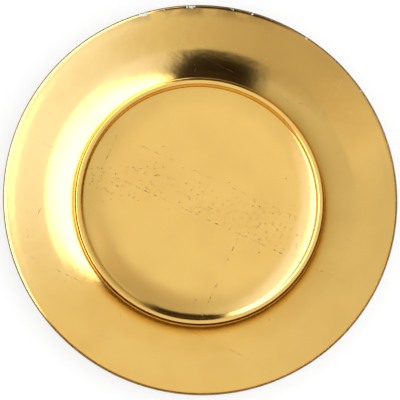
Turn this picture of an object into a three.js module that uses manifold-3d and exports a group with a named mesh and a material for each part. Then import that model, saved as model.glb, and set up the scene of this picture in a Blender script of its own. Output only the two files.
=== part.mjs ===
// A round charger plate of clear pressed glass, gilded on its back: one glass body, pieces of brass
// leaf laid side by side against its underside, and a clear coat that seals the leaf.
// Millimetres, +Z up. The origin is on the plate's axis, on the surface that it stands on.

import * as THREE from "three";
import { mergeVertices } from "three/addons/utils/BufferGeometryUtils.js";
import Module from "manifold-3d";

const wasm = await Module();
wasm.setup();

const degrees = THREE.MathUtils.degToRad;

// Overall sizes
const PLATE_DIAMETER = 330;
const PLATE_HEIGHT = 18.5;

// Rim: a half-round edge, a lip, then the broad flange and the brow where it turns into the wall
const RIM_GLASS = 3.9;
const LIP_WIDTH = 9;
const LIP_RISE = 1.85;
const LIP_SLOPE = degrees(10.8);
const FLANGE_WIDTH = 21.6;
const FLANGE_RISE = 3.83;
const FLANGE_SLOPE = degrees(10.8);
const BROW_WIDTH = 5;
const BROW_RISE = 1.05;
const BROW_SLOPE = degrees(10.3);

// Wall between the brow and the foot ring, with a steeper flare at its foot
const WALL_WIDTH = 21.2;
const WALL_TOP_SLOPE = degrees(13.5);
const WALL_FOOT_SLOPE = degrees(20);
const FLARE_WIDTH = 2;
const FLARE_RISE = 0.92;
const FLARE_SLOPE = degrees(29);

// Foot ring: a round heel, a flat face and an inner step, and the hollow back inside it
const HEEL_WIDTH = 1;
const FOOT_FACE_WIDTH = 2;
const STEP_WIDTH = 4.3;
const STEP_RISE = 1;
const SHOULDER_WIDTH = 27;
const SHOULDER_SLOPE = degrees(-7);
const BACK_HOLLOW = 2.46;

// Flat well inside the wall
const WELL_INSET = 2.5;
const WELL_GLASS = 3.24;

// Films on the back, drawn thick enough to be solids
const SIZE_GAP = 0.05;
const LEAF_THICKNESS = 0.1;
const COAT_GAP = 0.05;
const COAT_THICKNESS = 0.2;

// Leaf: rows across the plate, turned against X, each with seams along it. Edges and seams near the
// middle are measured from the plate's axis, and the outer ones inwards from the rim.
const LEAF_TURN = degrees(-24.5);
const SEAM_GAP = 0.3;
const BOTTOM_ROW_INSET = 60;
const STRIP_LOWER_EDGE = -11.7;
const STRIP_UPPER_EDGE = 21.7;
const TOP_ROW_INSET = 53;
const BOTTOM_SEAM = -20;
const LOWER_LEFT_INSET = 47;
const LOWER_RIGHT_SEAM = 42;
const STRIP_LEFT_INSET = 79;
const STRIP_RIGHT_INSET = 91;
const UPPER_LEFT_SEAM = -50;
const UPPER_RIGHT_INSET = 55;
const TOP_LEFT_INSET = 95;
const TOP_RIGHT_INSET = 99;

// Fineness of the solids
const SEGMENTS_ROUND = 48;
const STEPS = {
  shoulder: 3, step: 3, heel: 2, flare: 2, wall: 3, brow: 2, flange: 2, lip: 2, edge: 3, well: 6,
};

// Radii and heights that follow from the sizes
const FILM = SIZE_GAP + LEAF_THICKNESS + COAT_GAP + COAT_THICKNESS;
const GLASS_RADIUS = PLATE_DIAMETER / 2 - FILM;
const EDGE_RADIUS = RIM_GLASS / 2;
const EDGE_CENTRE = new THREE.Vector2(GLASS_RADIUS - EDGE_RADIUS, PLATE_HEIGHT - EDGE_RADIUS);

const slopeNormal = (slope) => new THREE.Vector2(-Math.sin(slope), Math.cos(slope));
const step = (from, inward, rise) => new THREE.Vector2(from.x - inward, from.y + rise);

// Corners of the glass's back, from the rim inwards
const lipEnd = EDGE_CENTRE.clone().addScaledVector(slopeNormal(LIP_SLOPE), -EDGE_RADIUS);
const lipStart = step(lipEnd, LIP_WIDTH, -LIP_RISE);
const browTop = step(lipStart, FLANGE_WIDTH, -FLANGE_RISE);
const wallTop = step(browTop, BROW_WIDTH, -BROW_RISE);
const HEEL_RISE = (HEEL_WIDTH * Math.tan(FLARE_SLOPE)) / 2;
const flareFoot = new THREE.Vector2(wallTop.x - WALL_WIDTH - FLARE_WIDTH, FILM + HEEL_RISE);
const wallFoot = step(flareFoot, -FLARE_WIDTH, FLARE_RISE);
const footOuter = step(flareFoot, HEEL_WIDTH, -HEEL_RISE);
const footInner = step(footOuter, FOOT_FACE_WIDTH, 0);
const shoulderFoot = step(footInner, STEP_WIDTH, STEP_RISE);
const shoulderTop = new THREE.Vector2(shoulderFoot.x - SHOULDER_WIDTH, FILM + BACK_HOLLOW);
const backMiddle = new THREE.Vector2(0, shoulderTop.y);

// Corners of the glass's front, from the rim inwards
const thickness = (point, slope) => point.clone().addScaledVector(slopeNormal(slope), RIM_GLASS);
const frontLipEnd = thickness(lipEnd, LIP_SLOPE);
const frontLipStart = thickness(lipStart, FLANGE_SLOPE);
const frontBrowTop = thickness(browTop, BROW_SLOPE);
const frontWallTop = thickness(wallTop, WALL_TOP_SLOPE);
const wellEdge = new THREE.Vector2(footOuter.x - WELL_INSET, backMiddle.y + WELL_GLASS);
const wellMiddle = new THREE.Vector2(0, wellEdge.y);

// One curved stretch of the profile that leaves and arrives at set slopes.
function bend(from, fromSlope, to, toSlope) {
  const third = (to.x - from.x) / 3;
  return new THREE.CubicBezierCurve(
    from,
    new THREE.Vector2(from.x + third, from.y + third * Math.tan(fromSlope)),
    new THREE.Vector2(to.x - third, to.y - third * Math.tan(toSlope)),
    to,
  );
}

// A stretch of the half-round edge, by its angles from the plate's outermost point.
function edge(fromAngle, toAngle) {
  const { x, y } = EDGE_CENTRE;
  return new THREE.EllipseCurve(x, y, EDGE_RADIUS, EDGE_RADIUS, fromAngle, toAngle, false);
}

const QUARTER_TURN = Math.PI / 2;
const backStretches = [
  [new THREE.LineCurve(backMiddle, shoulderTop), 1],
  [bend(shoulderTop, 0, shoulderFoot, SHOULDER_SLOPE), STEPS.shoulder],
  [bend(shoulderFoot, SHOULDER_SLOPE, footInner, 0), STEPS.step],
  [new THREE.LineCurve(footInner, footOuter), 1],
  [bend(footOuter, 0, flareFoot, FLARE_SLOPE), STEPS.heel],
  [bend(flareFoot, FLARE_SLOPE, wallFoot, WALL_FOOT_SLOPE), STEPS.flare],
  [bend(wallFoot, WALL_FOOT_SLOPE, wallTop, WALL_TOP_SLOPE), STEPS.wall],
  [bend(wallTop, WALL_TOP_SLOPE, browTop, BROW_SLOPE), STEPS.brow],
  [bend(browTop, BROW_SLOPE, lipStart, FLANGE_SLOPE), STEPS.flange],
  [bend(lipStart, FLANGE_SLOPE, lipEnd, LIP_SLOPE), STEPS.lip],
  [edge(LIP_SLOPE - QUARTER_TURN, 0), STEPS.edge],
];
const frontStretches = [
  [edge(0, QUARTER_TURN), STEPS.edge],
  [edge(QUARTER_TURN, LIP_SLOPE + QUARTER_TURN), 1],
  [bend(frontLipEnd, LIP_SLOPE, frontLipStart, FLANGE_SLOPE), STEPS.lip],
  [bend(frontLipStart, FLANGE_SLOPE, frontBrowTop, BROW_SLOPE), STEPS.flange],
  [bend(frontBrowTop, BROW_SLOPE, frontWallTop, WALL_TOP_SLOPE), STEPS.brow],
  [bend(frontWallTop, WALL_TOP_SLOPE, wellEdge, 0), STEPS.well],
  [new THREE.LineCurve(wellEdge, wellMiddle), 1],
];

// Points along stretches that join end to end, moved off the glass by a distance.
function outline(stretches, offGlass = 0) {
  return stretches.flatMap(([curve, steps], index) => {
    const first = index === 0 ? 0 : 1;
    return Array.from({ length: steps + 1 - first }, (_, i) => {
      const at = (first + i) / steps;
      const along = curve.getTangent(at);
      return curve.getPoint(at).add(new THREE.Vector2(along.y, -along.x).multiplyScalar(offGlass));
    });
  });
}

// Turns a closed profile of radius and height about the plate's axis.
function turned(profile) {
  return new THREE.LatheGeometry(profile, SEGMENTS_ROUND).rotateX(QUARTER_TURN);
}

// A film that follows the back of the glass from the axis to the outermost point of the edge.
function backFilm(offGlass, filmThickness) {
  const under = outline(backStretches, offGlass + filmThickness);
  const over = outline(backStretches, offGlass).reverse();
  [under[0], over[over.length - 1]].forEach((point) => point.setX(0));
  return turned([...under, ...over]);
}

function toSolid(geometry) {
  const bare = geometry.clone().deleteAttribute("normal").deleteAttribute("uv");
  const merged = mergeVertices(bare);
  return new wasm.Manifold(
    new wasm.Mesh({
      numProp: 3,
      vertProperties: merged.attributes.position.array,
      triVerts: new Uint32Array(merged.index.array),
    }),
  );
}

function toGeometry(solid) {
  const { vertProperties, triVerts } = solid.getMesh();
  return new THREE.BufferGeometry()
    .setAttribute("position", new THREE.BufferAttribute(vertProperties, 3))
    .setIndex(new THREE.BufferAttribute(triVerts, 1));
}

// An upright block that stands for one leaf square or offcut, seen from above.
function leafBlock([left, right], [lower, upper]) {
  const half = SEAM_GAP / 2;
  const shape = new THREE.Shape([
    new THREE.Vector2(left + half, lower + half),
    new THREE.Vector2(right - half, lower + half),
    new THREE.Vector2(right - half, upper - half),
    new THREE.Vector2(left + half, upper - half),
  ]);
  return new THREE.ExtrudeGeometry(shape, { depth: 2 * PLATE_HEIGHT, bevelEnabled: false })
    .translate(0, 0, -PLATE_HEIGHT / 2)
    .rotateZ(LEAF_TURN);
}

const REACH = PLATE_DIAMETER;
const fromRim = (inset) => PLATE_DIAMETER / 2 - inset;
const BOTTOM_ROW_EDGE = -fromRim(BOTTOM_ROW_INSET);
const TOP_ROW_EDGE = fromRim(TOP_ROW_INSET);
const leafRows = [
  { row: "bottom", edges: [-REACH, BOTTOM_ROW_EDGE], seams: [BOTTOM_SEAM] },
  {
    row: "lower",
    edges: [BOTTOM_ROW_EDGE, STRIP_LOWER_EDGE],
    seams: [-fromRim(LOWER_LEFT_INSET), LOWER_RIGHT_SEAM],
  },
  {
    row: "strip",
    edges: [STRIP_LOWER_EDGE, STRIP_UPPER_EDGE],
    seams: [-fromRim(STRIP_LEFT_INSET), fromRim(STRIP_RIGHT_INSET)],
  },
  {
    row: "upper",
    edges: [STRIP_UPPER_EDGE, TOP_ROW_EDGE],
    seams: [UPPER_LEFT_SEAM, fromRim(UPPER_RIGHT_INSET)],
  },
  {
    row: "top",
    edges: [TOP_ROW_EDGE, REACH],
    seams: [-fromRim(TOP_LEFT_INSET), fromRim(TOP_RIGHT_INSET)],
  },
];
const PLACES = { 2: ["left", "right"], 3: ["left", "middle", "right"] };

const plate = new THREE.Group();

function addPiece(name, geometry, finish) {
  const mesh = new THREE.Mesh(geometry, new THREE.MeshStandardMaterial(finish));
  mesh.name = name;
  plate.add(mesh);
}

// The glass body
const CLEAR_GLASS = {
  color: 0xf3f6f1,
  roughness: 0.04,
  metalness: 0,
  transparent: true,
  opacity: 0.35,
};
const glassProfile = [
  ...outline(backStretches),
  ...outline(frontStretches).slice(1),
];
addPiece("glass_plate", turned(glassProfile), CLEAR_GLASS);

// The leaf: each piece is the part of one film that its block covers
const BRASS_LEAF = { color: 0xdcae58, roughness: 0.3, metalness: 1 };
const leafFilm = toSolid(backFilm(SIZE_GAP, LEAF_THICKNESS));
for (const { row, edges, seams } of leafRows) {
  const ends = [-REACH, ...seams, REACH];
  PLACES[ends.length - 1].forEach((place, i) => {
    const piece = leafFilm.intersect(toSolid(leafBlock([ends[i], ends[i + 1]], edges)));
    // A block that misses the plate gives no leaf.
    if (!piece.isEmpty()) addPiece(`leaf_${row}_${place}`, toGeometry(piece), BRASS_LEAF);
  });
}

// The clear coat that seals the leaf
const CLEAR_LACQUER = {
  color: 0xf7efdc,
  roughness: 0.15,
  metalness: 0,
  transparent: true,
  opacity: 0.25,
};
addPiece("seal_coat", backFilm(SIZE_GAP + LEAF_THICKNESS + COAT_GAP, COAT_THICKNESS), CLEAR_LACQUER);

export default plate;
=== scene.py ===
"""Looks of a round glass charger plate that is gilded on its back.

The glass is turned from one section, the leaf is laid against its underside in torn pieces, and a
clear coat seals the leaf. Everything is in metres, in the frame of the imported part.
"""

import math

import bpy
from bpy.props import FloatProperty, FloatVectorProperty, IntProperty, PointerProperty
from mathutils import Matrix, Vector


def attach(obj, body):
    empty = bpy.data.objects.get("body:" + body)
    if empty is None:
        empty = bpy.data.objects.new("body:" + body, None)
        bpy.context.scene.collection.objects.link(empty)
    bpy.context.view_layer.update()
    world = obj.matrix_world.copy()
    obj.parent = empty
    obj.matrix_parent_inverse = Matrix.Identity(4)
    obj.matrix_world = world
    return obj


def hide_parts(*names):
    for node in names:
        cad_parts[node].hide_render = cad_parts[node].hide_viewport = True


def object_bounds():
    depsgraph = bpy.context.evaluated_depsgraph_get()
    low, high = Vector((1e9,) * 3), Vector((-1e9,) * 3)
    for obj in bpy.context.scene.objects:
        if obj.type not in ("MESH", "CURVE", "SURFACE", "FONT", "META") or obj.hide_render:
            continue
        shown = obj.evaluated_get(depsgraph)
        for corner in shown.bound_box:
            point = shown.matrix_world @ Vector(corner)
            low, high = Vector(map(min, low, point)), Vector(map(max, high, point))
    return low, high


bl_info = {
    "name": "Gilded glass plate",
    "version": (1, 0, 0),
    "blender": (4, 5, 0),
    "location": "View3D > Sidebar > Plate",
    "description": "Makes the glass, the leaf, the seal coat and the stage of a gilded plate",
    "category": "Object",
}

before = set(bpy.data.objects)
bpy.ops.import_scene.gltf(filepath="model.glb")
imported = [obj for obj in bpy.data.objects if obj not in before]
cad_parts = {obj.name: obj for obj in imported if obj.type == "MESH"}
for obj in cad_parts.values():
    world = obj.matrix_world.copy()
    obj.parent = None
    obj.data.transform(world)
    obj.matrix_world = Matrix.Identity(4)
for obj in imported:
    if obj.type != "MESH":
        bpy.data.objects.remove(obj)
CAD_LOW, CAD_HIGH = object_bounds()
MM = 0.001

# Pieces of leaf, by row across the plate: the row's edges and the seams along it, in millimetres,
# and how much its seams have opened. None is the rim.
LEAF_ROWS = {
    "bottom": ((None, -105.0), (-20.0,), 0.3),
    "lower": ((-105.0, -11.7), (-118.0, 42.0), 0.9),
    "strip": ((-11.7, 21.7), (-86.0, 74.0), 0.7),
    "upper": ((21.7, 112.0), (-50.0, 110.0), 0.1),
    "top": ((112.0, None), (-70.0, 66.0), 0.3),
}
PLACES = {2: ("left", "right"), 3: ("left", "middle", "right")}

# How far outer pieces of leaf would reach past the rim before they are trimmed
LEAF_OVERHANG = 8 * MM


def length(name, description, millimetres):
    """A property for one length, kept in metres."""
    return FloatProperty(
        name=name, description=description, default=millimetres * MM, min=0.0, subtype="DISTANCE"
    )


def slope(name, description, degrees):
    """A property for one slope of the section, kept in radians."""
    return FloatProperty(
        name=name, description=description, default=math.radians(degrees), subtype="ANGLE"
    )


def strength(name, description, default):
    """A property for one brightness or share."""
    return FloatProperty(name=name, description=description, default=default, min=0.0)


def linear(hex_colour):
    """An sRGB hex colour as linear red, green, blue and alpha."""
    channels = [int(hex_colour[i : i + 2], 16) / 255 for i in (1, 3, 5)]
    return [c / 12.92 if c <= 0.04045 else ((c + 0.055) / 1.055) ** 2.4 for c in channels] + [1.0]


def colour(name, description, hex_colour):
    """A property for one colour."""
    return FloatVectorProperty(
        name=name,
        description=description,
        default=linear(hex_colour),
        size=4,
        min=0.0,
        max=1.0,
        subtype="COLOR",
    )


class PlateSizes(bpy.types.PropertyGroup):
    """Sizes of the glass section and of the films on its back."""

    diameter: length("Diameter", "Across the rim, films included", (CAD_HIGH.x - CAD_LOW.x) / MM)
    height: length("Height", "From the table to the top of the rim", 18.5)
    rim_glass: length("Rim glass", "Thickness of the glass at the rim and flange", 3.9)
    lip_width: length("Lip width", "The stretch that turns up next to the rim", 9.0)
    lip_rise: length("Lip rise", "How far the lip climbs", 1.85)
    lip_slope: slope("Lip slope", "At the rim", 10.8)
    flange_width: length("Flange width", "From the lip to the brow", 21.6)
    flange_rise: length("Flange rise", "How far the flange climbs", 3.83)
    flange_slope: slope("Flange slope", "At the start of the lip", 10.8)
    brow_width: length("Brow width", "The turn from the flange into the wall", 5.0)
    brow_rise: length("Brow rise", "How far the brow climbs", 1.05)
    brow_slope: slope("Brow slope", "Where the brow meets the flange", 10.3)
    wall_width: length("Wall width", "From the brow to the flare", 21.2)
    wall_top_slope: slope("Wall top slope", "Where the wall meets the brow", 13.5)
    wall_foot_slope: slope("Wall foot slope", "Where the wall meets the flare", 20.0)
    flare_width: length("Flare width", "The steep foot of the wall", 2.0)
    flare_rise: length("Flare rise", "How far the flare climbs", 0.92)
    flare_slope: slope("Flare slope", "Where the flare meets the heel", 29.0)
    heel_width: length("Heel width", "The round from the foot face into the flare", 1.0)
    foot_face: length("Foot face", "Width of the flat that the plate stands on", 2.0)
    step_width: length("Step width", "The inner side of the foot ring", 4.3)
    step_rise: length("Step rise", "From the foot face to the shoulder", 1.0)
    shoulder_width: length("Shoulder width", "The curved back inside the foot ring", 27.0)
    shoulder_slope: slope("Shoulder slope", "Where the back meets the foot ring", -7.0)
    hollow: length("Hollow", "Foot face to the flat middle of the back", 2.46)
    well_inset: length("Well inset", "From the foot face's outer edge to the flat of the well", 2.5)
    well_glass: length("Well glass", "Thickness of the glass in the middle", 3.24)
    film: length("Film", "All films on the back", 0.4)
    leaf_sink: length("Leaf sink", "How far the leaf is bedded in the glass", 0.03)
    leaf_back: length("Leaf back", "From the glass to the back of the leaf", 0.07)
    coat_front: length("Coat front", "From the glass to the front of the coat", 0.11)
    leaf_turn: slope("Leaf turn", "Of the rows of leaf against X", -24.5)
    leaf_tear: length("Leaf tear", "How far torn edges stray from a straight seam", 1.2)
    leaf_gap: length("Leaf gap", "Between two pieces where a seam has opened", 0.8)
    leaf_seam: length("Leaf seam", "Between two pieces where they lie close", 0.02)
    segments: IntProperty(name="Segments", description="Steps round the plate", default=288, min=24)


class PlateFinish(bpy.types.PropertyGroup):
    """Colours of the plate and the stage."""

    glass: colour("Glass", "Clear soda-lime glass", "#F7FBF8")
    leaf: colour("Leaf", "Brass leaf where it lies flat", "#F7C872")
    leaf_deep: colour("Leaf, deep", "Brass leaf where it is worn or doubled", "#E6B462")
    # Painted dark reflection: a brown mixed into the leaf on the lip, standing in for something dark
    # that the lip mirrors
    painted_dark_reflection: colour("Painted dark reflection", "Brass leaf that hands have stained", "#8A5E2C")
    lacquer: colour("Lacquer", "Clear sealing lacquer", "#FFF6E2")
    lacquer_thin: colour("Lacquer, thin", "The same where less was sprayed on", "#FFFBF0")
    floor: colour("Floor", "Paper sweep", "#FFFFFF")


class StageSettings(bpy.types.PropertyGroup):
    """Camera and lights."""

    distance: length("Camera distance", "To the point that the camera looks at", 3000.0)
    tilt: slope("Camera tilt", "Off the plate's axis", 9.7)
    heading: slope("Camera heading", "Of the camera round the plate, from X", -112.0)
    aim: FloatVectorProperty(
        name="Aim",
        description="Where the camera looks",
        default=(-0.0007, -0.0013, 0.01655),
        subtype="TRANSLATION",
    )
    lens: FloatProperty(
        name="Lens", description="Focal length in millimetres", default=323.4, unit="CAMERA"
    )
    softbox: strength("Softbox", "Brightness of the softbox in mirrors", 5.6)
    glow: strength("Glow", "Brightness round the softbox in mirrors", 2.5)
    bounce: strength("Bounce card", "Brightness of the card under the softbox in mirrors", 1.0)
    dark: strength("Dark card", "Brightness of the dark card in mirrors", 0.02)
    lamp: FloatProperty(name="Lamp", description="Power of the lamp", default=5.0, subtype="POWER")
    fill: strength("Fill", "Light from the room on matt surfaces", 0.94)
    lift: strength("Floor lift", "Share of the floor that shows white by itself", 0.75)


# Sections of the glass and of its films, as radius and height


def line(start, end):
    """A straight stretch, as a function of 0 to 1 that gives a point and a direction."""
    run = end - start
    return lambda t: (start + run * t, run.normalized())


def bend(start, start_slope, end, end_slope):
    """A curved stretch that leaves and arrives at set slopes."""
    third = (end.x - start.x) / 3
    first = start + Vector((third, third * math.tan(start_slope)))
    second = end - Vector((third, third * math.tan(end_slope)))

    def at(t):
        u = 1 - t
        point = start * u**3 + first * (3 * u * u * t) + second * (3 * u * t * t) + end * t**3
        run = (first - start) * (u * u) + (second - first) * (2 * u * t) + (end - second) * (t * t)
        return point, run.normalized()

    return at


def arc(centre, radius, start_angle, end_angle):
    """A stretch of the half-round edge."""

    def at(t):
        angle = start_angle + (end_angle - start_angle) * t
        out = Vector((math.cos(angle), math.sin(angle)))
        return centre + out * radius, Vector((-out.y, out.x))

    return at


def off_slope(angle, distance):
    """The way off a slope, upwards, by a distance."""
    return Vector((-math.sin(angle), math.cos(angle))) * distance


def stretches(s):
    """The back of the glass from the axis to the rim, and its front from the rim to the axis.

    Each stretch comes with the number of its steps.
    """
    radius = s.rim_glass / 2
    centre = Vector((s.diameter / 2 - s.film - radius, s.height - radius))
    lip_end = centre - off_slope(s.lip_slope, radius)
    lip_start = lip_end - Vector((s.lip_width, s.lip_rise))
    brow_top = lip_start - Vector((s.flange_width, s.flange_rise))
    wall_top = brow_top - Vector((s.brow_width, s.brow_rise))
    heel_rise = s.heel_width * math.tan(s.flare_slope) / 2
    flare_foot = Vector((wall_top.x - s.wall_width - s.flare_width, s.film + heel_rise))
    wall_foot = flare_foot + Vector((s.flare_width, s.flare_rise))
    foot_outer = flare_foot - Vector((s.heel_width, heel_rise))
    foot_inner = foot_outer - Vector((s.foot_face, 0))
    shoulder_foot = foot_inner + Vector((-s.step_width, s.step_rise))
    shoulder_top = Vector((shoulder_foot.x - s.shoulder_width, s.film + s.hollow))
    back_middle = Vector((0, shoulder_top.y))
    well_edge = Vector((foot_outer.x - s.well_inset, shoulder_top.y + s.well_glass))
    front_lip_end = lip_end + off_slope(s.lip_slope, s.rim_glass)
    front_lip_start = lip_start + off_slope(s.flange_slope, s.rim_glass)
    front_brow_top = brow_top + off_slope(s.brow_slope, s.rim_glass)
    front_wall_top = wall_top + off_slope(s.wall_top_slope, s.rim_glass)
    quarter = math.pi / 2
    back = [
        (line(back_middle, shoulder_top), 6),
        (bend(shoulder_top, 0, shoulder_foot, s.shoulder_slope), 14),
        (bend(shoulder_foot, s.shoulder_slope, foot_inner, 0), 10),
        (line(foot_inner, foot_outer), 2),
        (bend(foot_outer, 0, flare_foot, s.flare_slope), 10),
        (bend(flare_foot, s.flare_slope, wall_foot, s.wall_foot_slope), 8),
        (bend(wall_foot, s.wall_foot_slope, wall_top, s.wall_top_slope), 16),
        (bend(wall_top, s.wall_top_slope, brow_top, s.brow_slope), 8),
        (bend(brow_top, s.brow_slope, lip_start, s.flange_slope), 10),
        (bend(lip_start, s.flange_slope, lip_end, s.lip_slope), 8),
        (arc(centre, radius, s.lip_slope - quarter, 0), 10),
    ]
    front = [
        (arc(centre, radius, 0, s.lip_slope + quarter), 14),
        (bend(front_lip_end, s.lip_slope, front_lip_start, s.flange_slope), 8),
        (bend(front_lip_start, s.flange_slope, front_brow_top, s.brow_slope), 10),
        (bend(front_brow_top, s.brow_slope, front_wall_top, s.wall_top_slope), 8),
        (bend(front_wall_top, s.wall_top_slope, well_edge, 0), 20),
        (line(well_edge, Vector((0, well_edge.y))), 6),
    ]
    return back, front


def outline(parts, off_glass=0.0):
    """Points along stretches that join end to end, moved off the glass by a distance."""
    points = []
    for at, steps in parts:
        for i in range(1 if points else 0, steps + 1):
            point, run = at(i / steps)
            points.append(point + Vector((run.y, -run.x)) * off_glass)
    return points


def film_section(back, front_off, back_off):
    """A closed section of a film on the back of the glass."""
    under = outline(back, back_off)
    over = outline(back, front_off)[::-1]
    under[0].x = over[-1].x = 0.0
    return under + over


# Node trees


# Settings that many nodes share
ADD = {"operation": "ADD"}
SUBTRACT = {"operation": "SUBTRACT"}
MULTIPLY_ADD = {"operation": "MULTIPLY_ADD"}
MULTIPLY = {"operation": "MULTIPLY"}
DIVIDE = {"operation": "DIVIDE"}
SCALE = {"operation": "SCALE"}
DOT_PRODUCT = {"operation": "DOT_PRODUCT"}
LENGTH = {"operation": "LENGTH"}
LARGER = {"operation": "MAXIMUM"}
BELOW = {"operation": "LESS_THAN"}
ABOVE = {"operation": "GREATER_THAN"}
SMOOTH_STEP = {"interpolation_type": "SMOOTHSTEP"}
COLOURS = {"data_type": "RGBA"}
FLAT_NOISE = {"noise_dimensions": "2D"}
SEEDED_NOISE = {"noise_dimensions": "4D"}
ABOUT_Z = {"rotation_type": "Z_AXIS"}


def feed(tree, node, inputs):
    """Sets a node's inputs, by name or number, to values or links."""
    sockets = {socket.name: socket for socket in reversed(node.inputs) if socket.enabled}
    for key, value in inputs.items():
        socket = node.inputs[key] if isinstance(key, int) else sockets[key]
        if isinstance(value, bpy.types.NodeSocket):
            tree.links.new(value, socket)
        else:
            socket.default_value = value


def add(tree, kind, settings=None, inputs=None):
    """Adds a node, with its settings, and its inputs as values or links."""
    node = tree.nodes.new(kind)
    for key, value in (settings or {}).items():
        setattr(node, key, value)
    feed(tree, node, inputs or {})
    return node


def geometry_tree(name, sizes):
    """A new tree with a geometry input and output, and a named input for each size."""
    tree = bpy.data.node_groups.new(name, "GeometryNodeTree")
    tree.interface.new_socket("Geometry", in_out="INPUT", socket_type="NodeSocketGeometry")
    for size, kind in sizes.items():
        tree.interface.new_socket(size, in_out="INPUT", socket_type=kind)
    tree.interface.new_socket("Geometry", in_out="OUTPUT", socket_type="NodeSocketGeometry")
    return tree, tree.nodes.new("NodeGroupInput").outputs


# Points closer than this become one, and corners sharper than this stay sharp
WELD = MM / 1000
SHARP_CORNER = math.radians(40)

# Torn edges of leaf: the spacing of their points, the grain of the tear and of the openings along a
# seam, their seed, the middle of a noise, and the levels of noise between which a seam opens
TEAR_STEP = 0.8 * MM
TEAR_GRAIN = 14.0 * MM
GAP_GRAIN = 3.5 * MM
TEAR_SEED = 4.0
NOISE_MIDDLE = (0.5, 0.5, 0.5)
GAP_OPENS = {"From Min": 0.54, "From Max": 0.7}


def finish_tree(tree, mesh, material):
    """Ends a tree: smooth faces with sharp corners, real meshes and one material."""
    smooth = add(tree, "GeometryNodeSetShadeSmooth", {"domain": "FACE"}, {"Geometry": mesh})
    angle = add(tree, "GeometryNodeInputMeshEdgeAngle").outputs["Unsigned Angle"]
    sharp = add(tree, "ShaderNodeMath", ABOVE, {0: angle, 1: SHARP_CORNER})
    cornered = add(
        tree,
        "GeometryNodeSetShadeSmooth",
        {"domain": "EDGE"},
        {"Geometry": smooth.outputs[0], "Selection": sharp.outputs[0], "Shade Smooth": False},
    )
    real = add(tree, "GeometryNodeRealizeInstances", inputs={"Geometry": cornered.outputs[0]})
    dressed = add(
        tree, "GeometryNodeSetMaterial", inputs={"Geometry": real.outputs[0], "Material": material}
    )
    add(tree, "NodeGroupOutput", inputs={"Geometry": dressed.outputs[0]})
    return tree


def turn_tree():
    """Turns a section, given as a curve, about the plate's axis."""
    sizes = {"Segments": "NodeSocketInt", "Material": "NodeSocketMaterial"}
    tree, given = geometry_tree("turned section", sizes)
    section = given["Geometry"]
    count = add(tree, "GeometryNodeAttributeDomainSize", {"component": "CURVE"}, {0: section})
    around = add(tree, "FunctionNodeIntegerMath", ADD, {0: given["Segments"], 1: 1})
    grid = add(
        tree,
        "GeometryNodeMeshGrid",
        inputs={"Vertices X": count.outputs["Point Count"], "Vertices Y": around.outputs[0]},
    )
    index = add(tree, "GeometryNodeInputIndex").outputs[0]
    numbers = {0: index, 1: around.outputs[0]}
    along = add(tree, "FunctionNodeIntegerMath", {"operation": "DIVIDE_FLOOR"}, numbers)
    step = add(tree, "FunctionNodeIntegerMath", {"operation": "MODULO"}, numbers)
    place = add(
        tree,
        "GeometryNodeSampleIndex",
        {"data_type": "FLOAT_VECTOR", "domain": "POINT"},
        {
            "Geometry": section,
            "Value": add(tree, "GeometryNodeInputPosition").outputs[0],
            "Index": along.outputs[0],
        },
    )
    share = add(tree, "ShaderNodeMath", DIVIDE, {0: step.outputs[0], 1: given["Segments"]})
    angle = add(tree, "ShaderNodeMath", MULTIPLY, {0: share.outputs[0], 1: -math.tau})
    turned = add(
        tree,
        "ShaderNodeVectorRotate",
        ABOUT_Z,
        {"Vector": place.outputs[0], "Angle": angle.outputs[0]},
    )
    moved = add(
        tree,
        "GeometryNodeSetPosition",
        inputs={"Geometry": grid.outputs["Mesh"], "Position": turned.outputs[0]},
    )
    closed = add(
        tree, "GeometryNodeMergeByDistance", inputs={"Geometry": moved.outputs[0], "Distance": WELD}
    )
    return finish_tree(tree, closed.outputs[0], given["Material"])


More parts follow.
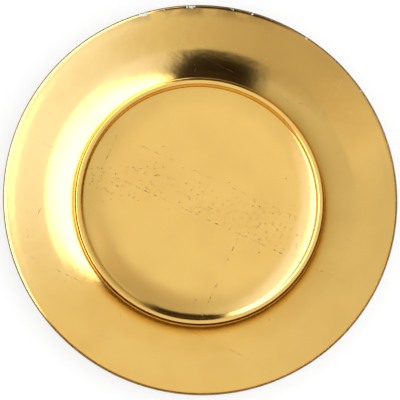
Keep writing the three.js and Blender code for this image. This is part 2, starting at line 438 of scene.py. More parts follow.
def torn_leaf_tree():
    """Cuts one torn piece of leaf out of the whole film of leaf, which is turned from a section.

    Neighbours tear along the same noise, so their edges run side by side and open here and there.
    """
    sizes = {
        "Segments": "NodeSocketInt",
        "Material": "NodeSocketMaterial",
        "Middle": "NodeSocketVector",
    }
    for name in ("Width", "Height", "Turn", "Depth", "Tear", "Gap", "Seam"):
        sizes[name] = "NodeSocketFloat"
    tree, given = geometry_tree("torn leaf", sizes)
    film = add(
        tree,
        "GeometryNodeGroup",
        {"node_tree": turn_tree()},
        {name: given[name] for name in ("Geometry", "Segments", "Material")},
    )
    square = add(
        tree,
        "GeometryNodeCurvePrimitiveQuadrilateral",
        {"mode": "RECTANGLE"},
        {"Width": given["Width"], "Height": given["Height"]},
    )
    placed = add(
        tree,
        "GeometryNodeTransform",
        inputs={"Geometry": square.outputs[0], "Translation": given["Middle"]},
    )
    fine = add(
        tree,
        "GeometryNodeResampleCurve",
        {"mode": "LENGTH"},
        {"Curve": placed.outputs[0], "Length": TEAR_STEP},
    )

    place = add(tree, "GeometryNodeInputPosition").outputs[0]
    stray = add(
        tree,
        "ShaderNodeTexNoise",
        SEEDED_NOISE,
        {"Vector": place, "W": TEAR_SEED, "Scale": 1 / TEAR_GRAIN, "Detail": 3.0},
    )
    centred = add(
        tree,
        "ShaderNodeVectorMath",
        SUBTRACT,
        {0: stray.outputs["Color"], 1: NOISE_MIDDLE},
    )
    torn = add(tree, "ShaderNodeVectorMath", SCALE, {0: centred.outputs[0], "Scale": given["Tear"]})
    opening = add(
        tree,
        "ShaderNodeTexNoise",
        SEEDED_NOISE,
        {"Vector": place, "W": TEAR_SEED + 1.0, "Scale": 1 / GAP_GRAIN, "Detail": 2.0},
    )
    half_gap = add(
        tree,
        "ShaderNodeMapRange",
        inputs={
            "Value": opening.outputs["Fac"],
            "To Min": given["Seam"],
            "To Max": given["Gap"],
            **GAP_OPENS,
        },
    )
    along = add(tree, "GeometryNodeInputTangent").outputs[0]
    inward = add(tree, "ShaderNodeVectorRotate", ABOUT_Z, {"Vector": along, "Angle": math.pi / 2})
    drawn_in = add(
        tree, "ShaderNodeVectorMath", SCALE, {0: inward.outputs[0], "Scale": half_gap.outputs[0]}
    )
    offset = add(
        tree,
        "ShaderNodeVectorMath",
        ADD,
        {0: torn.outputs[0], 1: drawn_in.outputs[0]},
    )
    ragged = add(
        tree,
        "GeometryNodeSetPosition",
        inputs={"Geometry": fine.outputs[0], "Offset": offset.outputs[0]},
    )

    filled = add(tree, "GeometryNodeFillCurve", {"mode": "NGONS"}, {"Curve": ragged.outputs[0]})
    face = filled.outputs[0]
    rise = add(tree, "ShaderNodeCombineXYZ", inputs={"Z": given["Depth"]})
    walls = add(
        tree, "GeometryNodeExtrudeMesh", {"mode": "FACES"}, {"Mesh": face, "Offset": rise.outputs[0]}
    )
    under = add(tree, "GeometryNodeFlipFaces", inputs={"Mesh": face})
    block = add(tree, "GeometryNodeJoinGeometry")
    for side in (walls.outputs["Mesh"], under.outputs[0]):
        tree.links.new(side, block.inputs[0])
    closed = add(
        tree, "GeometryNodeMergeByDistance", inputs={"Geometry": block.outputs[0], "Distance": WELD}
    )
    turn = add(tree, "ShaderNodeCombineXYZ", inputs={"Z": given["Turn"]})
    turned = add(
        tree,
        "GeometryNodeTransform",
        inputs={"Geometry": closed.outputs[0], "Rotation": turn.outputs[0]},
    )
    cut = add(tree, "GeometryNodeMeshBoolean", {"operation": "INTERSECT", "solver": "MANIFOLD"})
    for part in (film.outputs[0], turned.outputs[0]):
        tree.links.new(part, cut.inputs["Mesh 2"])
    return finish_tree(tree, cut.outputs["Mesh"], given["Material"])


def linked(name, data):
    """A new object in the scene."""
    made = bpy.data.objects.new(name, data)
    bpy.context.scene.collection.objects.link(made)
    return made


def section_object(name, points):
    """A section as an open poly curve in the XZ plane."""
    data = bpy.data.curves.new(name, "CURVE")
    data.dimensions = "3D"
    spline = data.splines.new("POLY")
    spline.points.add(len(points) - 1)
    for target, point in zip(spline.points, points):
        target.co = (point.x, 0.0, point.y, 1.0)
    return linked(name, data)


def made_by_nodes(name, section, tree, values):
    """The mesh that a tree makes from a section, as a finished piece on the plate's one body."""
    source = section_object(name + "_section", section)
    modifier = source.modifiers.new(tree.name, "NODES")
    modifier.node_group = tree
    for item in tree.interface.items_tree:
        if item.in_out == "INPUT" and item.name in values:
            modifier[item.identifier] = values[item.name]
    evaluated = source.evaluated_get(bpy.context.evaluated_depsgraph_get())
    mesh = bpy.data.meshes.new_from_object(evaluated)
    bpy.data.objects.remove(source)
    if not mesh.polygons:
        raise RuntimeError(f"{tree.name} made nothing for {name}")
    mesh.name = name
    piece = linked(name, mesh)
    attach(piece, "root")
    return piece


# Materials


def new_material(name):
    """An empty material with a Principled shader, and its node tree."""
    material = bpy.data.materials.new(name)
    material.use_nodes = True
    tree = material.node_tree
    tree.nodes.clear()
    shader = add(tree, "ShaderNodeBsdfPrincipled")
    add(tree, "ShaderNodeOutputMaterial", inputs={"Surface": shader.outputs[0]})
    return material, tree, shader


# Glass: the waves that the mould left, with their height in millimetres, the smears of the last wipe,
# and a tint that holds down the grey veil of the front face over the gold
WAVE_GRAIN = 18 * MM
WAVE_HEIGHT = 0.05
SMEAR_GRAIN = 3 * MM
SMEAR_STRETCH = (0.12, 1.0, 1.0)
SMEAR_TURN = (0.0, 0.0, math.radians(20))
GLASS_ROUGH = {"From Min": 0.5, "From Max": 0.8, "To Min": 0.008, "To Max": 0.03}
GLASS_IOR = 1.51
FRONT_TINT = "#B08040"


def pressed_glass(finish):
    """Soda-lime glass, pressed and fire polished: clear, with faint waves and wiped smears."""
    material, tree, shader = new_material("pressed_soda_lime_glass")
    place = add(tree, "ShaderNodeTexCoord").outputs["Object"]
    waves = add(
        tree, "ShaderNodeTexNoise", inputs={"Vector": place, "Scale": 1 / WAVE_GRAIN, "Detail": 1.0}
    )
    height = add(tree, "ShaderNodeMath", MULTIPLY, {0: waves.outputs["Fac"], 1: WAVE_HEIGHT})
    bump = add(tree, "ShaderNodeBump", inputs={"Distance": MM, "Height": height.outputs[0]})
    wiped = add(
        tree,
        "ShaderNodeMapping",
        inputs={"Vector": place, "Rotation": SMEAR_TURN, "Scale": SMEAR_STRETCH},
    )
    smears = add(
        tree,
        "ShaderNodeTexNoise",
        inputs={"Vector": wiped.outputs[0], "Scale": 1 / SMEAR_GRAIN, "Detail": 3.0},
    )
    rough = add(tree, "ShaderNodeMapRange", inputs={"Value": smears.outputs["Fac"], **GLASS_ROUGH})
    looks = {
        "Base Color": finish.glass,
        "Roughness": rough.outputs[0],
        "Normal": bump.outputs[0],
        "IOR": GLASS_IOR,
        "Specular Tint": linear(FRONT_TINT),
        "Transmission Weight": 1.0,
    }
    feed(tree, shader, looks)
    return material


# Leaf: clouds in its colour and gloss, and the swell and wrinkles of its surface, with heights in
# millimetres. Wrinkles are drawn out along the rows, and as coarse as they need to be to show.
CLOUD_GRAIN = 36 * MM
CLOUD_SHADE = {"From Min": 0.42, "From Max": 0.72, "To Max": 0.35}
LEAF_ROUGH = {"From Min": 0.3, "From Max": 0.7, "To Min": 0.06, "To Max": 0.1}
SWELL_GRAIN = 8 * MM
SWELL_HEIGHT = 0.03
WRINKLE_GRAIN = 2.2 * MM
WRINKLE_HEIGHT = 0.01
ALONG_ROWS = (0.4, 1.0, 1.0)

# Flecks: each cell may hold one hole. They crowd along the narrow row, which bends at its left end.
FLECK_CELL = 2.1 * MM
FLECK_SIZES = {"To Min": 0.03, "To Max": 0.13}
CROWD_GRAIN = 12 * MM
CROWD_BUNCHES = {"From Min": 0.42, "From Max": 0.64}
CROWD_MIDDLE = {"From Min": -90 * MM, "From Max": -30 * MM, "To Min": -26 * MM, "To Max": 5 * MM}
CROWD_CHANCE = 0.4
CROWD_EDGES = {"From Min": 23 * MM, "From Max": 13 * MM, "To Max": CROWD_CHANCE}
CROWD_RADII = {"From Min": 104 * MM, "From Max": 92 * MM}
STRAY_CHANCE = 0.03

# Hair cracks: level lines of a noise, broken up
CRACK_GRAIN = 9 * MM
CRACK_LEVEL = 0.5
CRACK_WIDTH = 0.004
CRACK_BREAKS = 4 * MM

# Chips along the rim, on the side that hands hold, and a painted dark reflection on the lip on that
# side:
# how far along Y and how far from the axis each starts and is at its most. A chip is where noise and
# wear pass a level.
CHIP_GRAIN = 8 * MM
CHIP_SIDE = (60 * MM, 165 * MM)
CHIP_RADII = (160.5 * MM, 163.5 * MM)
CHIP_WEAR = 0.27
CHIP_LEVEL = 0.83
# The painted dark reflection: its grain, its patches as levels of noise, and where it lies
DARK_REFLECTION_GRAIN = 16 * MM
DARK_REFLECTION_PATCHES = {"From Min": 0.42, "From Max": 0.6, "To Max": 0.55}
DARK_REFLECTION_SIDE = (148 * MM, 162 * MM)
DARK_REFLECTION_RADII = (153 * MM, 159 * MM)


def from_axis(tree, place):
    """How far a place is from the plate's axis."""
    flat = add(tree, "ShaderNodeVectorMath", MULTIPLY, {0: place, 1: (1.0, 1.0, 0.0)})
    return add(tree, "ShaderNodeVectorMath", LENGTH, {0: flat.outputs[0]}).outputs["Value"]


def rim_band_of_wear_and_reflection(tree, place, side, radii):
    """A band along the rim on the +Y side, as 0 to 1: where hands wear chips into the leaf, and where
    the painted dark reflection lies on the lip.
    """
    along = add(tree, "ShaderNodeSeparateXYZ", inputs={0: place}).outputs["Y"]
    wear_and_dark_reflection = []
    for value, (start, most) in ((along, side), (from_axis(tree, place), radii)):
        limits = {"Value": value, "From Min": start, "From Max": most}
        wear_and_dark_reflection.append(add(tree, "ShaderNodeMapRange", inputs=limits).outputs[0])
    return add(tree, "ShaderNodeMath", MULTIPLY, {0: wear_and_dark_reflection[0], 1: wear_and_dark_reflection[1]}).outputs[0]


def crowding(tree, place, rows):
    """The chance of flecks and cracks at a place, by the narrow row and within the well."""
    row = add(tree, "ShaderNodeSeparateXYZ", inputs={0: rows}).outputs
    middle = add(tree, "ShaderNodeMapRange", inputs={"Value": row["X"], **CROWD_MIDDLE})
    aside = add(tree, "ShaderNodeMath", SUBTRACT, {0: row["Y"], 1: middle.outputs[0]})
    off = add(tree, "ShaderNodeMath", {"operation": "ABSOLUTE"}, {0: aside.outputs[0]})
    in_row = add(tree, "ShaderNodeMapRange", SMOOTH_STEP, {"Value": off.outputs[0], **CROWD_EDGES})
    radius = from_axis(tree, place)
    in_well = add(tree, "ShaderNodeMapRange", SMOOTH_STEP, {"Value": radius, **CROWD_RADII})
    both = {0: in_row.outputs[0], 1: in_well.outputs[0]}
    return add(tree, "ShaderNodeMath", MULTIPLY, both).outputs[0]


def flecks(tree, place, drawn, crowd):
    """Small holes in chosen cells of the leaf, in bunches, as 0 or 1."""
    bunches = add(
        tree,
        "ShaderNodeTexNoise",
        FLAT_NOISE,
        {"Vector": place, "Scale": 1 / CROWD_GRAIN, "Detail": 2.0},
    )
    bunched = add(
        tree, "ShaderNodeMapRange", inputs={"Value": bunches.outputs["Fac"], **CROWD_BUNCHES}
    )
    either = add(tree, "ShaderNodeMath", ADD, {0: crowd, 1: STRAY_CHANCE})
    chance = add(tree, "ShaderNodeMath", MULTIPLY, {0: either.outputs[0], 1: bunched.outputs[0]})
    cells = add(
        tree,
        "ShaderNodeTexVoronoi",
        {"voronoi_dimensions": "2D"},
        {"Vector": drawn, "Scale": 1 / FLECK_CELL},
    )
    lots = add(tree, "ShaderNodeSeparateColor", inputs={0: cells.outputs["Color"]}).outputs
    chosen = add(tree, "ShaderNodeMath", BELOW, {0: lots["Red"], 1: chance.outputs[0]})
    size = add(tree, "ShaderNodeMapRange", inputs={"Value": lots["Green"], **FLECK_SIZES})
    near = add(tree, "ShaderNodeMath", BELOW, {0: cells.outputs["Distance"], 1: size.outputs[0]})
    both = {0: chosen.outputs[0], 1: near.outputs[0]}
    return add(tree, "ShaderNodeMath", MULTIPLY, both).outputs[0]


def cracks(tree, place, drawn, crowd):
    """Hair cracks that open here and there, as 0 or 1."""
    folds = add(
        tree,
        "ShaderNodeTexNoise",
        FLAT_NOISE,
        {"Vector": drawn, "Scale": 1 / CRACK_GRAIN, "Detail": 5.0, "Roughness": 0.6},
    )
    crack = add(
        tree,
        "ShaderNodeMath",
        {"operation": "COMPARE"},
        {0: folds.outputs["Fac"], 1: CRACK_LEVEL, 2: CRACK_WIDTH},
    )
    breaks = add(
        tree,
        "ShaderNodeTexNoise",
        FLAT_NOISE,
        {"Vector": place, "Scale": 1 / CRACK_BREAKS, "Detail": 1.0},
    )
    open_here = add(tree, "ShaderNodeMath", BELOW, {0: breaks.outputs["Fac"], 1: crowd})
    both = {0: crack.outputs[0], 1: open_here.outputs[0]}
    return add(tree, "ShaderNodeMath", MULTIPLY, both).outputs[0]


def chips(tree, place):
    """Chips along the rim, as 0 or 1."""
    wear_and_dark_reflection = rim_band_of_wear_and_reflection(tree, place, CHIP_SIDE, CHIP_RADII)
    bites = add(
        tree,
        "ShaderNodeTexNoise",
        inputs={"Vector": place, "Scale": 1 / CHIP_GRAIN, "Detail": 4.0, "Roughness": 0.7},
    )
    bitten = add(
        tree, "ShaderNodeMath", MULTIPLY_ADD, {0: wear_and_dark_reflection, 1: CHIP_WEAR, 2: bites.outputs["Fac"]}
    )
    return add(tree, "ShaderNodeMath", ABOVE, {0: bitten.outputs[0], 1: CHIP_LEVEL}).outputs[0]


def leaf_holes(tree, place, rows):
    """Where the leaf is broken through, as 0 or 1."""
    drawn = add(tree, "ShaderNodeMapping", inputs={"Vector": rows, "Scale": ALONG_ROWS}).outputs[0]
    crowd = crowding(tree, place, rows)
    holes = chips(tree, place)
    for kind in (flecks, cracks):
        more = {0: holes, 1: kind(tree, place, drawn, crowd)}
        holes = add(tree, "ShaderNodeMath", LARGER, more).outputs[0]
    return holes


def brass_leaf(finish, sizes):
    """Brass beaten to leaf and laid by hand: a satin mirror with clouds, wrinkles and cracks.

    It is chipped where hands hold the rim, and brown patches of painted dark reflection lie on its
    lip there.
    Cracks and chips are holes, which look dark inside the foot ring and pale near the rim.
    """
    material, tree, shader = new_material("hand_laid_brass_leaf")
    place = add(tree, "ShaderNodeTexCoord").outputs["Object"]
    turn = (0.0, 0.0, -sizes.leaf_turn)
    rows = add(tree, "ShaderNodeMapping", inputs={"Vector": place, "Rotation": turn}).outputs[0]

    clouds = add(
        tree, "ShaderNodeTexNoise", inputs={"Vector": place, "Scale": 1 / CLOUD_GRAIN, "Detail": 4.0}
    )
    shade = add(tree, "ShaderNodeMapRange", inputs={"Value": clouds.outputs["Fac"], **CLOUD_SHADE})
    tint = add(
        tree,
        "ShaderNodeMix",
        COLOURS,
        {"Factor": shade.outputs[0], "A": finish.leaf, "B": finish.leaf_deep},
    )
    # Painted dark reflection: brown patches mixed into the leaf's colour on the lip, which stand in
    # for something dark that the lip mirrors
    reflection_noise = add(
        tree,
        "ShaderNodeTexNoise",
        inputs={"Vector": place, "Scale": 1 / DARK_REFLECTION_GRAIN, "Detail": 2.0},
    )
    reflection_patches = add(
        tree, "ShaderNodeMapRange", inputs={"Value": reflection_noise.outputs["Fac"], **DARK_REFLECTION_PATCHES}
    )
    wear_and_dark_reflection = rim_band_of_wear_and_reflection(tree, place, DARK_REFLECTION_SIDE, DARK_REFLECTION_RADII)
    painted_dark_reflection = add(tree, "ShaderNodeMath", MULTIPLY, {0: reflection_patches.outputs[0], 1: wear_and_dark_reflection})
    tint = add(
        tree,
        "ShaderNodeMix",
        COLOURS,
        {"Factor": painted_dark_reflection.outputs[0], "A": tint.outputs["Result"], "B": finish.painted_dark_reflection},
    )
    rough = add(tree, "ShaderNodeMapRange", inputs={"Value": clouds.outputs["Fac"], **LEAF_ROUGH})

    swell = add(
        tree, "ShaderNodeTexNoise", inputs={"Vector": place, "Scale": 1 / SWELL_GRAIN, "Detail": 2.0}
    )
    drawn = add(tree, "ShaderNodeMapping", inputs={"Vector": rows, "Scale": ALONG_ROWS})
    wrinkles = add(
        tree,
        "ShaderNodeTexNoise",
        inputs={"Vector": drawn.outputs[0], "Scale": 1 / WRINKLE_GRAIN, "Detail": 3.0},
    )
    fine = add(tree, "ShaderNodeMath", MULTIPLY, {0: wrinkles.outputs["Fac"], 1: WRINKLE_HEIGHT})
    height = add(
        tree,
        "ShaderNodeMath",
        MULTIPLY_ADD,
        {0: swell.outputs["Fac"], 1: SWELL_HEIGHT, 2: fine.outputs[0]},
    )
    bump = add(tree, "ShaderNodeBump", inputs={"Distance": MM, "Height": height.outputs[0]})
    holes = leaf_holes(tree, place, rows)
    whole = add(tree, "ShaderNodeMath", SUBTRACT, {0: 1.0, 1: holes})
    looks = {
        "Base Color": tint.outputs["Result"],
        "Metallic": 1.0,
        "Roughness": rough.outputs[0],
        "Normal": bump.outputs[0],
        "Alpha": whole.outputs[0],
    }
    feed(tree, shader, looks)
    return material


# Lacquer: drifts of thicker and thinner spray, and the orange peel of its surface, with its height in
# millimetres
DRIFT_GRAIN = 40 * MM
LACQUER_ROUGH = {"To Min": 0.04, "To Max": 0.16}
LACQUER_IOR = 1.47
PEEL_GRAIN = 3 * MM
PEEL_HEIGHT = 0.008


def clear_lacquer(finish):
    """Clear lacquer, sprayed on: gloss with a faint warm tint, uneven spray and orange peel."""
    material, tree, shader = new_material("sprayed_clear_lacquer")
    place = add(tree, "ShaderNodeTexCoord").outputs["Object"]
    drifts = add(
        tree, "ShaderNodeTexNoise", inputs={"Vector": place, "Scale": 1 / DRIFT_GRAIN, "Detail": 2.0}
    )
    tint = add(
        tree,
        "ShaderNodeMix",
        COLOURS,
        {"Factor": drifts.outputs["Fac"], "A": finish.lacquer, "B": finish.lacquer_thin},
    )
    rough = add(
        tree, "ShaderNodeMapRange", inputs={"Value": drifts.outputs["Fac"], **LACQUER_ROUGH}
    )
    peel = add(
        tree, "ShaderNodeTexNoise", inputs={"Vector": place, "Scale": 1 / PEEL_GRAIN, "Detail": 1.0}
    )
    height = add(tree, "ShaderNodeMath", MULTIPLY, {0: peel.outputs["Fac"], 1: PEEL_HEIGHT})
    bump = add(tree, "ShaderNodeBump", inputs={"Distance": MM, "Height": height.outputs[0]})
    looks = {
        "Base Color": tint.outputs["Result"],
        "Roughness": rough.outputs[0],
        "Normal": bump.outputs[0],
        "IOR": LACQUER_IOR,
        "Transmission Weight": 1.0,
    }
    feed(tree, shader, looks)
    return material


# Stage

UP = Vector((0.0, 0.0, 1.0))

# Floor: half its width, its roughness, and the share of the plate's radius at which it starts to show
# white by itself
FLOOR_REACH = 6.0
FLOOR_ROUGH = 0.9
LIFT_STARTS = 0.8

# Lamp: its heading, how steeply it stands over the plate, how far away it is, and its size
LAMP_HEADING = math.radians(-12)
LAMP_RISE = 1.3
LAMP_DISTANCE = 1.5
LAMP_SIZE = (2.0, 1.5)

# How far a direction has to point ahead to meet a panel
AHEAD = 0.0001


def heading_vector(angle):
    """A level unit vector at an angle from X."""
    return Vector((math.cos(angle), math.sin(angle), 0.0))


def tilted_vector(heading, tilt):
    """A unit vector that leans off the plate's axis by a tilt, at an angle from X."""
    return heading_vector(heading) * math.sin(tilt) + UP * math.cos(tilt)


def panel_mask(tree, way, panel):
    """Where a flat upright panel at unit distance is seen, as 0 to 1 with soft edges."""
    turned = add(
        tree,
        "ShaderNodeVectorRotate",
        ABOUT_Z,
        {"Vector": way, "Angle": -math.radians(panel["heading"])},
    )
    rolled = add(
        tree,
        "ShaderNodeVectorRotate",
        {"rotation_type": "X_AXIS"},
        {"Vector": turned.outputs[0], "Angle": -math.radians(panel.get("roll", 0.0))},
    )
    parts = add(tree, "ShaderNodeSeparateXYZ", inputs={0: rolled.outputs[0]}).outputs
    ahead = add(tree, "ShaderNodeMath", LARGER, {0: parts["X"], 1: AHEAD})
    mask = add(tree, "ShaderNodeMath", ABOVE, {0: parts["X"], 1: AHEAD})
    for axis, edges in (("Y", "sides"), ("Z", "heights")):
        place = add(tree, "ShaderNodeMath", DIVIDE, {0: parts[axis], 1: ahead.outputs[0]})
        for (edge, soft), sign in zip(panel[edges], (1, -1)):
            reach = sign * soft
            inside = add(
                tree,
                "ShaderNodeMapRange",
                SMOOTH_STEP,
                {"Value": place.outputs[0], "From Min": edge - reach, "From Max": edge + reach},
            )
            both = {0: mask.outputs[0], 1: inside.outputs[0]}
            mask = add(tree, "ShaderNodeMath", MULTIPLY, both)
    return mask.outputs[0]


# Panels of the studio that mirrors show: the way they face, how far they are rolled, their edges at
# unit distance, each with its softness, and their tint
GLOW = {
    "heading": -12.0,
    "sides": ((-1.1, 0.8), (1.1, 0.8)),
    "heights": ((0.9, 0.6), (4.0, 2.0)),
    "tint": "#BCCBFF",
}
SOFTBOX = {
    "heading": -18.0,
    "roll": 10.0,
    "sides": ((-1.6, 0.4), (1.9, 0.4)),
    "heights": ((0.73, 0.15), (2.1, 0.6)),
    "tint": "#FFFFFF",
}
BOUNCE_CARD = {
    "heading": -18.0,
    "sides": ((-1.6, 0.4), (0.75, 0.3)),
    "heights": ((-9.0, 0.1), (0.62, 0.15)),
    "tint": "#FFF3DC",
}
DARK_CARD = {
    "heading": -94.0,
    "sides": ((-0.46, 0.18), (0.54, 0.18)),
    "heights": ((0.45, 0.1), (4.05, 0.85)),
    "tint": "#FFE0C0",
}

# The rest of the studio, by the height of a direction: pale walls at the sides, and behind the plate
# a brown wall that hangs clear of the floor
SIDE_WALLS = (
    (0.00, "#FFF6E0"),
    (0.45, "#F0DDB0"),
    (0.62, "#E8D0A0"),
    (0.72, "#F9F2DD"),
    (0.90, "#FFFFFF"),
)
BROWN_WALL = (
    (0.18, "#F4E6C4"),
    (0.25, "#4E340A"),
    (0.46, "#543709"),
    (0.51, "#7E591F"),
    (0.56, "#BC954F"),
    (0.60, "#D9B164"),
    (0.66, "#EED094"),
    (0.72, "#F9F2DD"),
    (0.90, "#FFFFFF"),
)

# Where the brown wall starts and is whole, as shares of the way to its middle
BROWN_WAY = (-0.26, 0.97, 0.0)
BROWN_EDGES = {"From Min": 0.0, "From Max": 0.45}

# All of it is brighter to the right and the back
LEAN = {"From Min": -0.75, "From Max": 0.3, "To Min": 0.616, "To Max": 0.937}
LEAN_WAY = (1.0, 0.55, 0.0)

# Round spots that tint it: their heading and tilt, their outer and inner edge, all in degrees, and
# their tint
CAMERA_SHADE = {
    "heading": -130.0,
    "tilt": 7.8,
    "edges": (14.0, 3.0),
    "tint": (0.77, 0.71, 0.64, 1.0),
}
OVERHEAD_GLOW = {
    "heading": 68.0,
    "tilt": 9.7,
    "edges": (14.0, 3.0),
    "tint": (1.1, 1.1, 1.1, 1.0),
}
SIDE_GLOW = {
    "heading": 175.0,
    "tilt": 12.0,
    "edges": (7.0, 2.0),
    "tint": (1.17, 1.15, 1.12, 1.0),
}


def wall_tint(tree, height, stops):
    """A wall's colour by the height of a direction."""
    wall = add(tree, "ShaderNodeValToRGB", inputs={"Fac": height})
    ramp = wall.color_ramp.elements
    while len(ramp) < len(stops):
        ramp.new(1.0)
    for element, (place, tint) in zip(ramp, stops):
        element.position = place
        element.color = linear(tint)
    return wall.outputs["Color"]


def studio_light(tree, stage):
    """The studio's light in each direction, as mirrors and glass show it."""
    way = add(tree, "ShaderNodeTexCoord").outputs["Generated"]
    height = add(tree, "ShaderNodeSeparateXYZ", inputs={0: way}).outputs["Z"]
    behind = add(tree, "ShaderNodeVectorMath", DOT_PRODUCT, {0: way, 1: BROWN_WAY})
    brown = add(
        tree,
        "ShaderNodeMapRange",
        SMOOTH_STEP,
        {"Value": behind.outputs["Value"], **BROWN_EDGES},
    )
    walls = add(
        tree,
        "ShaderNodeMix",
        COLOURS,
        {
            "Factor": brown.outputs[0],
            "A": wall_tint(tree, height, SIDE_WALLS),
            "B": wall_tint(tree, height, BROWN_WALL),
        },
    )
    lean = add(tree, "ShaderNodeVectorMath", DOT_PRODUCT, {0: way, 1: LEAN_WAY})
    level = add(tree, "ShaderNodeMapRange", inputs={"Value": lean.outputs["Value"], **LEAN})
    light = add(
        tree,
        "ShaderNodeVectorMath",
        SCALE,
        {0: walls.outputs["Result"], "Scale": level.outputs[0]},
    ).outputs[0]
    for spot in (CAMERA_SHADE, OVERHEAD_GLOW, SIDE_GLOW):
        middle = tilted_vector(math.radians(spot["heading"]), math.radians(spot["tilt"]))
        near = add(tree, "ShaderNodeVectorMath", DOT_PRODUCT, {0: way, 1: middle})
        outer, inner = (math.cos(math.radians(edge)) for edge in spot["edges"])
        inside = add(
            tree,
            "ShaderNodeMapRange",
            SMOOTH_STEP,
            {"Value": near.outputs["Value"], "From Min": outer, "From Max": inner},
        )
        light = add(
            tree,
            "ShaderNodeMix",
            {"data_type": "RGBA", "blend_type": "MULTIPLY"},
            {"Factor": inside.outputs[0], "A": light, "B": spot["tint"]},
        ).outputs["Result"]
    panels = (
        (GLOW, stage.glow),
        (BOUNCE_CARD, stage.bounce),
        (SOFTBOX, stage.softbox),
        (DARK_CARD, stage.dark),
    )
    for panel, level in panels:
        tint = [channel * level for channel in linear(panel["tint"])]
        light = add(
            tree,
            "ShaderNodeMix",
            COLOURS,
            {"Factor": panel_mask(tree, way, panel), "A": light, "B": tint},
        ).outputs["Result"]
    return light


def facing(place, top, back):
    """The place and turn of a camera or a lamp, by the ways to its top and its back."""
    turn = Matrix((top.cross(back), top, back)).transposed().to_4x4()
    return Matrix.Translation(place) @ turn


def place_camera(scene, stage):
    """Puts up the camera, with Y upwards in its picture."""
    back = tilted_vector(stage.heading, stage.tilt)
    top = (Vector((0.0, 1.0, 0.0)) - back * back.y).normalized()
    data = bpy.data.cameras.new("camera")
    data.lens = stage.lens
    camera = linked("camera", data)
    camera.matrix_world = facing(Vector(stage.aim) + back * stage.distance, top, back)
    scene.camera = camera


def paper_sweep(finish, stage, radius):
    """Matt white paper, which shows part of its white by itself beyond the plate's radius.

    That holds for the camera, for mirrors and for glass. The rest of its white keeps the shadow.
    """
    material, tree, shader = new_material("paper_sweep")
    path = add(tree, "ShaderNodeLightPath").outputs
    seen = path["Is Camera Ray"]
    for ray in ("Is Glossy Ray", "Is Transmission Ray"):
        seen = add(tree, "ShaderNodeMath", LARGER, {0: seen, 1: path[ray]}).outputs[0]
    place = add(tree, "ShaderNodeTexCoord").outputs["Object"]
    away = add(tree, "ShaderNodeVectorMath", LENGTH, {0: place})
    limits = {"From Min": LIFT_STARTS * radius, "From Max": radius, "To Max": stage.lift}
    beyond = add(tree, "ShaderNodeMapRange", inputs={"Value": away.outputs["Value"], **limits})
    lift = add(tree, "ShaderNodeMath", MULTIPLY, {0: seen, 1: beyond.outputs[0]}).outputs[0]
    matt = add(
        tree,
        "ShaderNodeMix",
        COLOURS,
        {"Factor": lift, "A": finish.floor, "B": (0.0, 0.0, 0.0, 1.0)},
    )
    looks = {
        "Base Color": matt.outputs["Result"],
        "Roughness": FLOOR_ROUGH,
        "Emission Color": finish.floor,
        "Emission Strength": lift,
    }
    feed(tree, shader, looks)
    return material


def lay_floor(finish, stage, radius):
    """Lays the paper that the plate stands on."""
    mesh = bpy.data.meshes.new("floor")
    reach = FLOOR_REACH
    corners = [(-reach, -reach, 0), (reach, -reach, 0), (reach, reach, 0), (-reach, reach, 0)]
    mesh.from_pydata(corners, [], [(0, 1, 2, 3)])
    mesh.materials.append(paper_sweep(finish, stage, radius))
    floor = linked("floor", mesh)


def hang_lamp(stage):
    """Hangs the soft lamp, which mirrors and glass don't show."""
    back = (heading_vector(LAMP_HEADING) + UP * LAMP_RISE).normalized()
    across = UP.cross(back).normalized()
    data = bpy.data.lights.new("soft_lamp", "AREA")
    data.shape = "RECTANGLE"
    data.size, data.size_y = LAMP_SIZE
    data.energy = stage.lamp
    lamp = linked("soft_lamp", data)
    lamp.matrix_world = facing(back * LAMP_DISTANCE, back.cross(across), back)
    lamp.visible_glossy = False
    lamp.visible_transmission = False


def light_studio(scene, stage):
    """Fills the world: the studio in mirrors and glass, white behind, and even light on the rest."""
    world = bpy.data.worlds.new("studio")
    scene.world = world
    world.use_nodes = True
    tree = world.node_tree
    tree.nodes.clear()
    path = add(tree, "ShaderNodeLightPath").outputs
    mirrored = add(
        tree,
        "ShaderNodeMath",
        LARGER,
        {0: path["Is Glossy Ray"], 1: path["Is Transmission Ray"]},
    )
    plain = add(
        tree,
        "ShaderNodeMapRange",
        inputs={"Value": path["Is Camera Ray"], "To Min": stage.fill, "To Max": 1.0},
    )
    light = add(
        tree,
        "ShaderNodeMix",
        COLOURS,
        {"Factor": mirrored.outputs[0], "A": plain.outputs[0], "B": studio_light(tree, stage)},
    )
    sky = add(tree, "ShaderNodeBackground", inputs={"Color": light.outputs["Result"]})
    add(tree, "ShaderNodeOutputWorld", inputs={"Surface": sky.outputs[0]})


class PLATE_OT_set_stage(bpy.types.Operator):
    """Makes the camera, the floor, the lamp and the studio round the plate"""

    bl_idname = "plate.set_stage"
    bl_label = "Set the stage"

    def execute(self, context):
        scene = context.scene
        finish, stage = scene.plate_finish, scene.plate_stage
        place_camera(scene, stage)
        lay_floor(finish, stage, scene.plate_sizes.diameter / 2)
        hang_lamp(stage)
        light_studio(scene, stage)
        scene.view_settings.view_transform = "Standard"
        return {"FINISHED"}


class PLATE_OT_press_glass(bpy.types.Operator):
    """Turns the glass body from its section"""

    bl_idname = "plate.press_glass"
    bl_label = "Press the glass"

    def execute(self, context):
        sizes, finish = context.scene.plate_sizes, context.scene.plate_finish
        back, front = stretches(sizes)
        section = outline(back + front)
        section[0].x = section[-1].x = 0.0
        values = {"Segments": sizes.segments, "Material": pressed_glass(finish)}
        body = made_by_nodes("pressed_glass_body", section, turn_tree(), values)
        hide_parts("glass_plate")
        return {"FINISHED"}


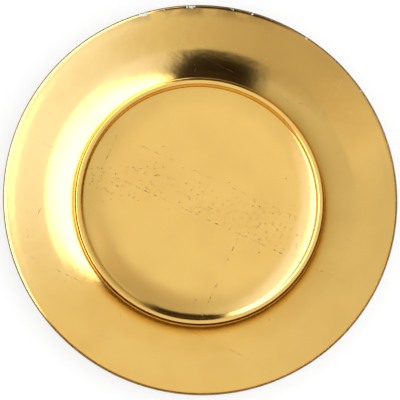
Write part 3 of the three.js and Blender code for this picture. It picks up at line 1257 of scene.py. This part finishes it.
class PLATE_OT_lay_leaf(bpy.types.Operator):
    """Lays torn pieces of leaf against the back of the glass, row by row"""

    bl_idname = "plate.lay_leaf"
    bl_label = "Lay the leaf"

    def execute(self, context):
        sizes, finish = context.scene.plate_sizes, context.scene.plate_finish
        back, _front = stretches(sizes)
        film = film_section(back, -sizes.leaf_sink, sizes.leaf_back)
        tree = torn_leaf_tree()
        reach = sizes.diameter / 2 + LEAF_OVERHANG
        common = {
            "Segments": sizes.segments,
            "Material": brass_leaf(finish, sizes),
            "Turn": sizes.leaf_turn,
            "Depth": sizes.height,
            "Tear": sizes.leaf_tear,
            "Seam": sizes.leaf_seam / 2,
        }
        for row, (edges, seams, opened) in LEAF_ROWS.items():
            lower, upper = (
                sign * reach if edge is None else edge * MM for edge, sign in zip(edges, (-1, 1))
            )
            ends = [-reach, *(seam * MM for seam in seams), reach]
            for place, left, right in zip(PLACES[len(seams) + 1], ends, ends[1:]):
                block = {
                    "Middle": ((left + right) / 2, (lower + upper) / 2, 0.0),
                    "Width": right - left,
                    "Height": upper - lower,
                    "Gap": opened * sizes.leaf_gap / 2,
                }
                node = f"leaf_{row}_{place}"
                piece = made_by_nodes(f"brass_{node}", film, tree, {**common, **block})
                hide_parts(node)
        return {"FINISHED"}


class PLATE_OT_seal_back(bpy.types.Operator):
    """Seals the leaf with a clear coat"""

    bl_idname = "plate.seal_back"
    bl_label = "Seal the back"

    def execute(self, context):
        sizes, finish = context.scene.plate_sizes, context.scene.plate_finish
        back, _front = stretches(sizes)
        film = film_section(back, sizes.coat_front, sizes.film)
        values = {"Segments": sizes.segments, "Material": clear_lacquer(finish)}
        coat = made_by_nodes("clear_seal_coat", film, turn_tree(), values)
        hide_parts("seal_coat")
        return {"FINISHED"}


class PLATE_PT_sidebar(bpy.types.Panel):
    """Lists what the plate is made of"""

    bl_idname = "PLATE_PT_sidebar"
    bl_label = "Gilded glass plate"
    bl_space_type = "VIEW_3D"
    bl_region_type = "UI"
    bl_category = "Plate"

    def draw(self, context):
        scene, layout = context.scene, self.layout
        for operator in OPERATORS:
            layout.operator(operator.bl_idname)
        for group in (scene.plate_sizes, scene.plate_finish, scene.plate_stage):
            box = layout.box()
            for name in group.__annotations__:
                box.prop(group, name)


GROUPS = {"plate_sizes": PlateSizes, "plate_finish": PlateFinish, "plate_stage": StageSettings}
OPERATORS = (PLATE_OT_set_stage, PLATE_OT_press_glass, PLATE_OT_lay_leaf, PLATE_OT_seal_back)


def register():
    """Adds the classes and the scene's settings."""
    for name, group in GROUPS.items():
        bpy.utils.register_class(group)
        setattr(bpy.types.Scene, name, PointerProperty(type=group))
    for cls in (*OPERATORS, PLATE_PT_sidebar):
        bpy.utils.register_class(cls)


def unregister():
    """Takes them away again."""
    for cls in (PLATE_PT_sidebar, *reversed(OPERATORS)):
        bpy.utils.unregister_class(cls)
    for name, group in reversed(GROUPS.items()):
        delattr(bpy.types.Scene, name)
        bpy.utils.unregister_class(group)


def main():
    """Makes the stage and the pieces."""
    register()
    for operator in OPERATORS:
        group, action = operator.bl_idname.split(".")
        getattr(getattr(bpy.ops, group), action)()


if __name__ == "__main__":
    main()
